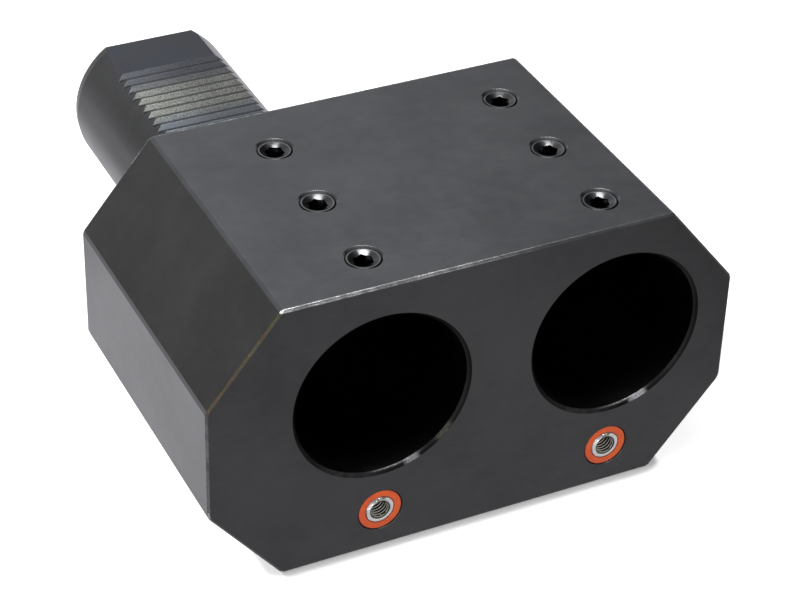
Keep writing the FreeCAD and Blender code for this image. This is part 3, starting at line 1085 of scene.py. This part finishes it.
@dataclass(frozen=True)
class Thread:
    """Metric thread as a helix of flats and flanks.

    Attributes:
        pitch: Rise of one turn.
        inner: Radius of its inner flat.
        outer: Radius of its outer flat.
    """

    pitch: float
    inner: float
    outer: float

    def rows(self, low: float, high: float, runout: float) -> list[Row]:
        """Rows of the thread between two heights, fading into its outer radius at both ends.

        Args:
            low: Lower end.
            high: Upper end.
            runout: Height over which it fades at each end.

        Returns:
            The rows, from the lower end up.
        """
        # Where the inner flat and the outer flat begin and end, as shares of a turn.
        knots = ((0.0, self.inner), (0.25, self.inner), (0.5625, self.outer), (0.6875, self.outer))
        turns = math.ceil((high - low) / self.pitch) + 2
        start = low - self.pitch
        return [
            self.knot_row(start + (turn + share) * self.pitch, radius, low, high, runout)
            for turn in range(turns)
            for share, radius in knots
        ]

    def knot_row(self, start: float, radius: float, low: float, high: float, runout: float) -> Row:
        """One line of the helix.

        Args:
            start: Height at which it starts.
            radius: Its radius between the runouts.
            low: Lower end of the thread.
            high: Upper end of the thread.
            runout: Height over which it fades at each end.

        Returns:
            The row.
        """

        def row(angle: float) -> tuple[float, float]:
            """Point of the line at an angle.

            Args:
                angle: Angle round the axis.

            Returns:
                Its radius and its height.
            """
            height = min(max(start + self.pitch * angle / math.tau, low), high)
            share = min((height - low) / runout, (high - height) / runout, 1.0)
            return self.outer + (radius - self.outer) * share, height

        return row


@dataclass
class SocketScrew:
    """Headless screw or plug with a hexagon socket, built in place of its node.

    Attributes:
        name: The piece's name.
        node: The node that it stands for.
        body: The body that it rides on.
        facing: Where its socket points.
        pitch: Pitch of its thread.
        across_flats: Size of the socket.
        socket_depth: Depth of the socket.
        mouth: Diameter of the socket's conical mouth.
        top_break: Break at the socket end.
        point_break: Break at the other end.
        turn: How far the screw is turned, in degrees.
        columns: Steps round the axis.
        thread_depth: Depth of a metric thread in pitches.
        floor_radius: Radius of the socket's flat floor in widths across flats.
        cone_depth: Depth of the drill's cone in it, in the same.
    """

    name: str
    node: str
    body: str
    facing: Facing
    pitch: float
    across_flats: float
    socket_depth: float
    mouth: float
    top_break: float
    point_break: float
    turn: float = 0.0
    columns: int = 96
    thread_depth: ClassVar[float] = 0.6134
    floor_radius: ClassVar[float] = 0.42
    cone_depth: ClassVar[float] = 0.2

    def hexagon(self, angle: float) -> float:
        """Distance from the axis to the socket's wall at an angle."""
        sixth = math.radians(60)
        return self.across_flats / 2 / math.cos(angle % sixth - sixth / 2)

    def mouth_height(self, angle: float) -> float:
        """Depth at which the conical mouth meets the socket's wall."""
        return (self.mouth / 2 - self.hexagon(angle)) / 2

    def outer_rows(self, radius: float, length: float) -> list[Row]:
        """Outline from the point's middle up the thread to the rim of the socket.

        Args:
            radius: Radius of the thread.
            length: Length of the screw.

        Returns:
            The rows, from the point up.
        """
        edge = mm(0.12)
        thread = Thread(self.pitch, radius - self.pitch * self.thread_depth, radius)
        return [
            circle(0, -length),
            circle(radius - self.point_break - edge, -length),
            circle(radius - self.point_break, -length + edge / 2),
            *thread.rows(self.point_break - length, -self.top_break, self.pitch * 0.4),
            circle(radius - self.top_break, -edge / 3),
            circle(radius - self.top_break - edge, 0),
            circle(self.mouth / 2 + edge / 2, 0),
            circle(self.mouth / 2, -edge / 5),
        ]

    def socket_rows(self) -> list[Row]:
        """Outline of the socket from its rim to its floor.

        Returns:
            The rows, from the rim down.
        """
        floor = -self.socket_depth
        return [
            lambda angle: (self.hexagon(angle), -self.mouth_height(angle)),
            lambda angle: (self.hexagon(angle), floor),
            circle(self.across_flats * self.floor_radius, floor),
            circle(0, floor - self.across_flats * self.cone_depth),
        ]

    def build(self, finishes: "FinishSet") -> bpy.types.Object:
        """Builds the screw in the node's box and dresses it.

        Args:
            finishes: The materials.

        Returns:
            The new object.
        """
        low, high = node_box(self.node)
        size, middle = high - low, (high + low) / 2
        direction = Vector(self.facing.value)
        length = abs(size.dot(direction))
        radius = max(size.cross(direction)) / 2 if self.facing is Facing.RIGHT else size.x / 2
        mesh = turned_mesh(self.name, self.outer_rows(radius, length), self.columns, self.socket_rows())
        place = Matrix.Translation(middle + direction * length / 2)
        mesh.transform(place @ self.facing.turn() @ Matrix.Rotation(math.radians(self.turn), 4, "Z"))
        materials = (finishes.screw, finishes.socket)
        return dressed_piece(self.name, mesh, materials, self.body, self.node)


@dataclass
class CoolantNozzle:
    """Swivelling ball with its threaded hole, the ring that holds it and the seal behind it.

    Attributes:
        side: left or right.
        ball_radius: Radius of the ball.
        seat_radius: Radius of the round seat in the ring.
        lip_drop: Height over which the ball's front is rounded.
        thread: Thread in the ball.
        columns: Steps round the axis.
    """

    side: str
    ball_radius: float = mm(5.5)
    seat_radius: float = mm(5.6)
    lip_drop: float = mm(0.4)
    thread: Thread = Thread(mm(1.0), mm(2.5), mm(3.0))
    columns: int = 96

    def centre(self) -> Vector:
        """Middle of the ball, where its joint turns."""
        joint = next(j for j in frame["joints"] if j["name"] == f"nozzle_tilt_{self.side}")
        return Vector(joint["pos_m"])

    def place(self) -> Matrix:
        """Matrix that puts a mesh round the Z axis at the ball, facing front."""
        return Matrix.Translation(self.centre()) @ Facing.FRONT.turn()

    def ball_rows(self, flat: float) -> tuple[list[Row], list[Row]]:
        """Outline of the ball in two parts: sphere, rounded front and mouth, then the thread.

        Args:
            flat: Distance from the middle to the flat.

        Returns:
            The rows of the outside and of the hole, which end where they begin.
        """
        mouth = self.thread.outer + mm(0.06)
        lip = mouth + mm(0.12)
        bend = self.ball_radius * math.sin(math.acos((flat - self.lip_drop) / self.ball_radius))
        back = math.asin(mouth / self.ball_radius)
        front = math.asin(bend / self.ball_radius)
        steps = 24
        turns = [math.pi - back + (front - math.pi + back) * i / steps for i in range(steps + 1)]
        sphere = [circle(self.ball_radius * math.sin(t), self.ball_radius * math.cos(t)) for t in turns]
        arcs = [math.radians(30 + 10 * i) for i in range(7)]
        rounded = [
            circle(lip + (bend - lip) * math.cos(t), flat - self.lip_drop * (1 - math.sin(t))) for t in arcs
        ]
        hole_back = -self.ball_radius * math.cos(back)
        outside = [*sphere, *rounded, circle(mouth, flat - mm(0.1))]
        hole = [*reversed(self.thread.rows(hole_back, flat - mm(0.15), mm(0.25))), circle(mouth, hole_back)]
        return outside, hole

    def ring_rows(self, front: float, back: float, radius: float) -> list[Row]:
        """Outline of the ring: front face with rounded edges, wall, back and round seat.

        Args:
            front: Height of its front face over the ball's middle.
            back: Height of its back face.
            radius: Its outer radius.

        Returns:
            The rows, which end where they begin.
        """
        mouth = math.sqrt(self.seat_radius**2 - front**2)
        bend, lip, steps = mm(0.35), mm(0.12), 6
        quarter = [math.pi / 2 * i / steps for i in range(steps + 1)]
        outer = [
            circle(radius - bend + bend * math.sin(t), front - bend + bend * math.cos(t)) for t in quarter
        ]
        turns = [math.asin(mouth / self.seat_radius) + i * math.radians(6) for i in range(20)]
        turns = [t for t in turns if t < math.pi / 2]
        seat = [circle(self.seat_radius * math.sin(t), self.seat_radius * math.cos(t)) for t in turns]
        brink = circle(mouth + lip * 0.3, front - lip * 0.5)
        wall = [circle(radius, back), circle(self.seat_radius, back), circle(self.seat_radius, 0)]
        return [brink, circle(mouth + lip, front), *outer, *wall, *reversed(seat), brink]

    def build(self, finishes: "FinishSet") -> None:
        """Builds the ball, the ring and the seal.

        Args:
            finishes: The materials.
        """
        centre = self.centre()
        ball = f"nozzle_ball_{self.side}"
        flat = centre.y - node_box(ball)[0].y
        outside, hole = self.ball_rows(flat)
        mesh = turned_mesh(ball, outside, self.columns, hole)
        mesh.transform(self.place())
        materials = (finishes.polished, finishes.thread)
        dressed_piece(f"threaded_ball_{self.side}", mesh, materials, ball, ball)
        ring = f"nozzle_ring_{self.side}"
        low, high = node_box(ring)
        rows = self.ring_rows(centre.y - low.y, centre.y - high.y, (high.x - low.x) / 2)
        mesh = turned_mesh(ring, rows, self.columns)
        mesh.transform(self.place())
        name, materials = f"retaining_ring_{self.side}", [finishes.orange]
        dressed_piece(name, mesh, materials, "holder", ring)
        ORing(f"ball_seal_{self.side}", f"nozzle_seal_{self.side}").build(finishes.rubber)


@dataclass
class ORing:
    """Round rubber ring with the faint line that its mould leaves.

    Attributes:
        name: The piece's name.
        node: The node that it stands for.
        flash: Height of the mould line.
        columns: Steps round the axis.
    """

    name: str
    node: str
    flash: float = mm(0.03)
    columns: int = 120

    def rows(self, track: float, section: float) -> list[Row]:
        """Outline of the ring's section, with the mould line at half height.

        Args:
            track: Radius of the section's path.
            section: Radius of the section.

        Returns:
            The rows, which end where they begin.
        """
        steps = 36
        rows = []
        for i in range(steps + 1):
            turn = math.tau * i / steps
            radius = section + (self.flash if i % (steps // 2) == 0 else 0.0) - self.flash
            rows.append(circle(track + radius * math.cos(turn), radius * math.sin(turn)))
        return rows

    def build(self, material: bpy.types.Material) -> bpy.types.Object:
        """Builds the ring and dresses it in rubber.

        Args:
            material: Its finish.

        Returns:
            The new object.
        """
        low, high = node_box(self.node)
        section = (high.y - low.y) / 2
        track = (high.x - low.x) / 2 - section
        mesh = turned_mesh(self.name, self.rows(track, section), self.columns)
        mesh.transform(Matrix.Translation((low + high) / 2) @ Facing.REAR.turn())
        return dressed_piece(self.name, mesh, [material], "holder", self.node)


@dataclass
class ClampScrewSet:
    """Six set screws over the bores, each turned its own way.

    Attributes:
        turns: Degrees that each screw is turned, by its row and side.
    """

    turns: dict[str, float] = field(
        default_factory=lambda: {
            "left_front": 20.0, "left_middle": 25.0, "left_rear": 33.0,
            "right_front": 10.0, "right_middle": 52.0, "right_rear": 5.0,
        }
    )

    def build(self, finishes: "FinishSet") -> None:
        """Builds every screw.

        Args:
            finishes: The materials.
        """
        for place, turn in self.turns.items():
            node = f"clamp_screw_{place}"
            SocketScrew(
                name=f"set_screw_{place}", node=node, body=node, facing=Facing.UP, pitch=mm(1.5),
                across_flats=mm(5.0), socket_depth=mm(4.4), mouth=mm(8.2), top_break=mm(0.3),
                point_break=mm(1.1), turn=turn,
            ).build(finishes)


@dataclass
class PassagePlugs:
    """Plugs that close the drilled coolant passages."""

    def build(self, finishes: "FinishSet") -> None:
        """Builds the two riser plugs and the cross passage's plug.

        Args:
            finishes: The materials.
        """
        for side in ("left", "right"):
            SocketScrew(
                name=f"passage_plug_{side}", node=f"riser_plug_{side}", body="holder", facing=Facing.DOWN,
                pitch=mm(1.25), across_flats=mm(4.0), socket_depth=mm(3.0), mouth=mm(5.0),
                top_break=mm(0.6), point_break=mm(0.6),
            ).build(finishes)
        SocketScrew(
            name="passage_plug_cross", node="cross_passage_plug", body="holder", facing=Facing.RIGHT,
            pitch=mm(1.5), across_flats=mm(5.0), socket_depth=mm(3.0), mouth=mm(6.2),
            top_break=mm(0.6), point_break=mm(0.6), turn=12.0,
        ).build(finishes)


@dataclass
class HolderBody:
    """Block and shank, which keep their nodes and get their finish here.

    Attributes:
        corner_run: Width of a corner's slope.
        corner_rise: Height of a corner's slope.
        edge_break: Break round the front and back faces.
        rim_break: Break round the bores' rims.
        bore_radius: Radius of the bores.
        bore_spacing: Distance between the bores' middles.
        first_screw: Distance from the front face to the first screw.
        screw_step: Distance from one screw to the next.
        rack_start: Where the rack begins, from the turret face.
        rack_land: Smooth length at the shank's end.
    """

    corner_run: float = mm(21)
    corner_rise: float = mm(26)
    edge_break: float = mm(0.6)
    rim_break: float = mm(1.0)
    bore_radius: float = mm(25)
    bore_spacing: float = mm(70)
    first_screw: float = mm(14)
    screw_step: float = mm(29)
    rack_start: float = mm(8.5)
    rack_land: float = mm(17.5)

    def edge_tints(self) -> tuple[EdgeTint, ...]:
        """Edges where the blackening is rubbed through or straw-coloured.

        Returns:
            The edges.
        """
        low, high = node_box("holder_block")
        rub, half = self.edge_break, self.edge_break / 2
        front, rear = low.y, high.y
        left, top = low.x, high.z
        top_left, top_right = low.x + self.corner_run, high.x - self.corner_run

        def along_top(y: float, z: float) -> tuple[Vector, Vector]:
            """Ends of a line from left to right along the top face."""
            return Vector((top_left, y, z)), Vector((top_right, y, z))

        shoulder, foot = high.z - self.corner_rise, low.z + self.corner_rise
        steel, worn = (0.9, 0.89, 0.87, 1.0), (0.4, 0.4, 0.4, 1.0)
        straw, olive = (0.12, 0.068, 0.032, 1.0), (0.098, 0.088, 0.034, 1.0)
        dull, violet = (0.15, 0.15, 0.16, 1.0), (0.06, 0.056, 0.067, 1.0)
        upper, lower = along_top(front + rub, top), along_top(front, top - rub)
        middle, back = along_top(front + half, top - half), along_top(rear - rub, top)
        corner, tip = Vector((left + half, front + half, foot)), middle[0]
        bend = Vector((left + half, front + half, shoulder))
        back_bend = Vector((left, rear - rub, shoulder))
        return (
            EdgeTint(bend, tip, mm(0.29), straw, olive, (1.0, 1.0), grain=mm(0.45)),
            EdgeTint(corner, bend, mm(0.4), violet, dull, (0.8, 0.6), (0.0, 0.2)),
            EdgeTint(corner, corner + Vector((0, 0, mm(1.5))), mm(0.35), steel, worn, (0.7, 0.3)),
            EdgeTint(*middle, mm(0.45), steel, worn, (0.32, 0.0), (0.1, 0.85), mm(0.22)),
            EdgeTint(*upper, mm(0.13), steel, worn, (0.22, 0.03), (0.1, 0.9), mm(0.25)),
            EdgeTint(*lower, mm(0.11), steel, worn, (0.36, 0.0), (0.1, 0.85), mm(0.25)),
            EdgeTint(tip, tip + Vector((mm(1.2), 0, 0)), mm(0.4), steel, steel, (0.9, 0.3), grain=mm(0.6)),
            EdgeTint(*back, mm(0.3), worn, dull, (0.9, 0.6), (0.1, 0.6)),
            EdgeTint(back_bend, back[0], mm(0.12), steel, worn, (0.4, 0.9), (0.3, 0.7)),
        )

    def rims_shaded_and_worn(self) -> tuple[RimShadeAndWear, ...]:
        """Rims of the bores in painted shade, worn bright with a painted highlight at the lower right, and
        dull at the lower left.

        Returns:
            The rims.
        """
        front = node_box("holder_block")[0].y
        reach = self.rim_break / 2
        radius = self.bore_radius + reach
        # Painted highlights: the lit inner line, and the stretch at 291 degrees, which is worn metal as well.
        dull = RimPatch(245.0, 32.0, grey(0.034), mm(2.0))
        lit_inner_line = RimPatch(281.0, 22.0, grey(0.2), mm(0.8), inner=True)
        worn = RimPatch(291.0, 6.5, grey(0.24), mm(0.35))
        bright = RimPatch(291.0, 8.0, grey(0.4), mm(0.35))
        olive = RimPatch(317.0, 9.0, (0.057, 0.055, 0.045, 1.0), mm(1.0))
        patches = {0.0: (dull, lit_inner_line, worn, olive), self.bore_spacing: (dull, lit_inner_line, bright)}
        return tuple(RimShadeAndWear(Vector((x, front, 0.0)), radius, reach, kept) for x, kept in patches.items())

    def screw_holes(self) -> RoundPattern:
        """The six screw holes in the top face.

        Returns:
            Their pattern.
        """
        low, high = node_box("holder_block")
        first = Vector((0.0, low.y + self.first_screw, high.z))
        return RoundPattern(first, Vector((self.bore_spacing, self.screw_step, 0.0)), Vector((1.0, 1.0, 0.0)))

    def nozzles(self) -> RoundPattern:
        """The two nozzles in the front face.

        Returns:
            Their pattern.
        """
        low, high = node_box("nozzle_ring_left")
        spacing = Vector((self.bore_spacing, 0.0, 0.0))
        return RoundPattern((low + high) / 2, spacing, Vector((1.0, 0.0, 1.0)))

    def build(self, finishes: "FinishSet") -> None:
        """Dresses the block and the shank.

        Args:
            finishes: The materials.
        """
        for node, material in (("holder_block", finishes.block), ("holder_shank", finishes.shank)):
            item = frame["nodes"][node]
            item.data.materials.clear()
            item.data.materials.append(material)
            LOG.info("%s: dressed with %s", node, material.name)


class FinishSet:
    """Every material of the holder, built once."""

    def __init__(self, effects: SharedEffects, body: HolderBody) -> None:
        """Builds the materials.

        Args:
            effects: The shared node groups.
            body: The block and shank, whose edges are tinted.
        """
        shank_end = node_box("holder_shank")[1].y
        rack = (body.rack_start, shank_end - body.rack_land)
        nozzles = body.nozzles()
        holes = body.screw_holes()
        self.block = BlackenedSteel(
            "black oxide steel", grey(0.07), 0.33, body.edge_tints(), body.rims_shaded_and_worn(), holes
        ).build(effects)
        self.shank = RackSteel("black oxide shank", grey(0.071, 0.01), 0.3, rack=rack).build(effects)
        self.screw = OiledScrewSteel("oiled black screw", grey(0.09), 0.26, holes).build(effects)
        # Painted shade: the socket takes a darker copy of the screw's finish.
        self.socket = OiledScrewSteel("oiled black socket", grey(0.045), 0.16).build(effects)
        self.polished = PolishedSteel("polished steel", (0.82, 0.8, 0.77, 1.0), 0.12, nozzles).build(effects)
        self.thread = PolishedSteel(
            "cut thread steel", (0.5, 0.48, 0.42, 1.0), 0.2, nozzles, crest=mm(2.52)
        ).build(effects)
        self.orange = MouldedPlastic(
            "orange plastic", (0.73, 0.108, 0.016, 1.0), 0.36, nozzles, (mm(4.3), mm(6.25))
        ).build(effects)
        self.rubber = SealRubber("seal rubber", grey(0.022), 0.5).build(effects)


@dataclass
class SoftLamp:
    """Soft box aimed at the holder.

    Attributes:
        name: The lamp's name.
        place: Where it hangs.
        size: Length of its side.
        power: Its power in watts.
        stretch: How many times as wide as that it is.
        mirrored: Whether polished surfaces show it.
        lighting: Whether it lights dull surfaces.
    """

    name: str
    place: Vector
    size: float
    power: float
    stretch: float = 1.0
    mirrored: bool = True
    lighting: bool = True

    def build(self, target: Vector) -> None:
        """Hangs the lamp and turns it to its target.

        Args:
            target: Point that it is turned to.
        """
        data = bpy.data.lights.new(self.name, "AREA")
        data.shape = "RECTANGLE"
        data.size = self.size * self.stretch
        data.size_y = self.size
        data.energy = self.power
        lamp = bpy.data.objects.new(self.name, data)
        lamp.location = self.place
        lamp.rotation_euler = (target - self.place).to_track_quat("-Z", "Y").to_euler()
        lamp.visible_glossy = self.mirrored
        lamp.visible_diffuse = self.lighting
        show(lamp)


@dataclass
class Studio:
    """Pale floor, soft lamps, white surround and the camera.

    Attributes:
        camera_place: Where the camera stands.
        camera_turn: Its angles about X, Y and Z in degrees.
        lens: Its focal length in millimetres.
        sensor: Width of its sensor in millimetres.
        floor_side: Side of the floor.
        floor_level: Light that the floor adds for the camera.
        contact: Reach of the shadow where the block meets the floor.
        contact_open: Share of open sky where that shadow is full, and where it ends.
        contact_level: Share of the floor's light in it.
        mirrored_front: Reflected brightness of the floor in front of the block.
        mirrored_rear: The same behind it.
        mirrored_left: The same to its left.
        dimmed_left: Share of it that is left toward the rear.
        sky_low: Reflected brightness of the surround at the horizon.
        sky_high: The same overhead.
        left_low: The same as sky_low, to the left.
        left_high: The same as sky_high, to the left.
        sky_tint: Colour of the surround overhead.
        fill: Brightness of the surround as a light.
    """

    camera_place: Vector = field(default_factory=lambda: Vector((-0.230266, -0.557723, 0.394122)))
    camera_turn: tuple[float, float, float] = (55.044, -1.4992, -25.646)
    lens: float = 111.847
    sensor: float = 36.0
    floor_side: float = 8.0
    floor_level: float = 0.78
    contact: float = mm(3.9)
    contact_open: tuple[float, float] = (0.64, 0.95)
    contact_level: float = 0.3
    mirrored_front: float = 0.68
    mirrored_rear: float = 1.1
    mirrored_left: float = 1.27
    dimmed_left: float = 0.62
    sky_low: float = 0.22
    sky_high: float = 1.25
    left_low: float = 0.44
    left_high: float = 0.66
    sky_tint: Colour = (0.945, 0.975, 1.06, 1.0)
    fill: float = 0.2

    def lamps(self) -> tuple[SoftLamp, ...]:
        """The soft boxes.

        Returns:
            The lamps.
        """
        return (
            SoftLamp("overhead box", Vector((0.008, -0.05, 1.25)), 0.44, 27.0, 1.7, lighting=False),
            SoftLamp("left glint", Vector((-0.74, -1.05, 0.36)), 0.09, 0.5, lighting=False),
            SoftLamp("upper glint", Vector((-0.18, -0.92, 0.92)), 0.22, 0.5, lighting=False),
            SoftLamp("overhead fill", Vector((-0.1, -0.3, 1.3)), 0.6, 3.0, mirrored=False),
            SoftLamp("rear floor box", Vector((-0.9, 0.9, 0.9)), 0.6, 30.0, mirrored=False),
            SoftLamp("front fill", Vector((-0.2, -1.3, 0.12)), 0.5, 9.0, mirrored=False),
        )

    def build_floor(self) -> None:
        """Lays the floor under the block."""
        bm = bmesh.new()
        bmesh.ops.create_grid(bm, x_segments=2, y_segments=2, size=self.floor_side / 2)
        mesh = bpy.data.meshes.new("studio floor")
        bm.to_mesh(mesh)
        bm.free()
        floor = bpy.data.objects.new("studio_floor", mesh)
        floor.location.z = CAD_BOX[0].z
        show(floor)
        material = bpy.data.materials.new("pale floor")
        material.use_nodes = True
        graph = Graph(material.node_tree)
        shader = material.node_tree.nodes["Principled BSDF"]
        shader.inputs["Roughness"].default_value = 0.9
        shader.inputs["Base Color"].default_value = grey(0.8)
        shader.inputs["Specular IOR Level"].default_value = 0.0
        shader.inputs["Emission Color"].default_value = WHITE
        mirror, seen = graph.reflected()
        near = graph.add("AmbientOcclusion", {"Distance": self.contact}, samples=16).outputs["AO"]
        open_floor = graph.ramp(near, *self.contact_open, self.contact_level, 1.0)
        bright = graph.times(open_floor, self.floor_level)
        graph.feed(shader.inputs["Emission Strength"], graph.times(seen, bright))
        feeds = {"Color": (0.985, 0.975, 1.03, 1.0), "Strength": self.mirrored_floor(graph)}
        glow = graph.add("Emission", feeds).outputs[0]
        surface = graph.add("MixShader", {0: mirror, 1: shader.outputs[0], 2: glow}).outputs[0]
        graph.feed(material.node_tree.nodes["Material Output"].inputs["Surface"], surface)
        mesh.materials.append(material)

    def mirrored_floor(self, graph: Graph) -> Socket:
        """Brightness that reflections show on the floor, uneven as under soft boxes.

        Args:
            graph: The floor's graph.

        Returns:
            The socket with the brightness.
        """
        low, high = CAD_BOX
        shank_side = node_box("holder_shank")[1].x
        place = graph.parts(graph.add("NewGeometry").outputs["Position"])
        beside = graph.ramp(place[0], low.x - mm(18), low.x, 1.0, 0.0)
        behind = graph.ramp(place[1], low.y, low.y + mm(60))
        across = graph.calc("ABSOLUTE", place[0])
        under = graph.ramp(across, shank_side - mm(8), shank_side + mm(12), 0.72, 1.0)
        rear = graph.times(under, self.mirrored_rear)
        front = graph.times(graph.ramp(place[0], mm(105), mm(185), 1.0, 0.55), self.mirrored_front)
        close, distant = (
            graph.ramp(place[1], start, end, 1.0, self.dimmed_left)
            for start, end in ((mm(35), mm(120)), (mm(250), mm(330)))
        )
        left = graph.blend(graph.ramp(place[0], mm(-150), mm(-110)), distant, close)
        left = graph.times(left, self.mirrored_left)
        return graph.blend(beside, graph.blend(behind, front, rear), left)

    def build_surround(self) -> None:
        """White surround for the camera, a soft gradient in reflections and a plain fill light."""
        world = bpy.data.worlds.new("studio surround")
        world.use_nodes = True
        bpy.context.scene.world = world
        graph = Graph(world.node_tree)
        toward = graph.parts(graph.add("TexCoord").outputs["Generated"])
        sides = ((self.sky_low, self.sky_high), (self.left_low, self.left_high))
        right, left = (graph.ramp(toward[2], 0.0, 0.65, *levels) for levels in sides)
        rear = graph.blend(graph.ramp(toward[0], -0.35, 0.15), left, right)
        fading = graph.ramp(toward[0], 0.1, 0.72, 1.35, 0.1)
        rear = graph.times(rear, fading, graph.ramp(toward[0], -0.7, -0.55, 0.73, 1.1))
        front = graph.ramp(toward[2], 0.4, 0.7, 1.0, 0.5)
        sky = graph.blend(graph.ramp(toward[1], -0.4, -0.1), front, rear)
        mirror, seen = graph.reflected()
        level = graph.blend(seen, graph.blend(mirror, self.fill, sky), 1.0)
        high = graph.times(graph.ramp(toward[2], 0.3, 0.5), mirror)
        background = world.node_tree.nodes["Background"]
        graph.feed(background.inputs["Color"], graph.mix(high, WHITE, self.sky_tint))
        graph.feed(background.inputs["Strength"], level)

    def build_camera(self) -> None:
        """Sets up the camera at the photograph's angle."""
        data = bpy.data.cameras.new("camera")
        data.lens = self.lens
        data.sensor_width = self.sensor
        data.sensor_fit = "HORIZONTAL"
        data.clip_start = mm(10)
        camera = bpy.data.objects.new("camera", data)
        camera.location = self.camera_place
        camera.rotation_euler = Euler([math.radians(angle) for angle in self.camera_turn], "XYZ")
        bpy.context.scene.camera = show(camera)

    def build(self) -> None:
        """Builds the whole studio."""
        target = (CAD_BOX[0] + CAD_BOX[1]) / 2
        for lamp in self.lamps():
            lamp.build(target)
        self.build_floor()
        self.build_surround()
        self.build_camera()
        bpy.context.scene.view_settings.view_transform = "Standard"


def main() -> None:
    """Builds every sub-assembly in order."""
    logging.basicConfig(level=logging.INFO, format="%(message)s")
    Studio().build()
    body = HolderBody()
    finishes = FinishSet(SharedEffects(), body)
    body.build(finishes)
    ClampScrewSet().build(finishes)
    for side in ("left", "right"):
        CoolantNozzle(side).build(finishes)
    PassagePlugs().build(finishes)
    ORing("shank_seal", "shank_o_ring").build(finishes.rubber)
    ORing("inlet_seal", "inlet_o_ring").build(finishes.rubber)


if __name__ == "__main__":
    main()
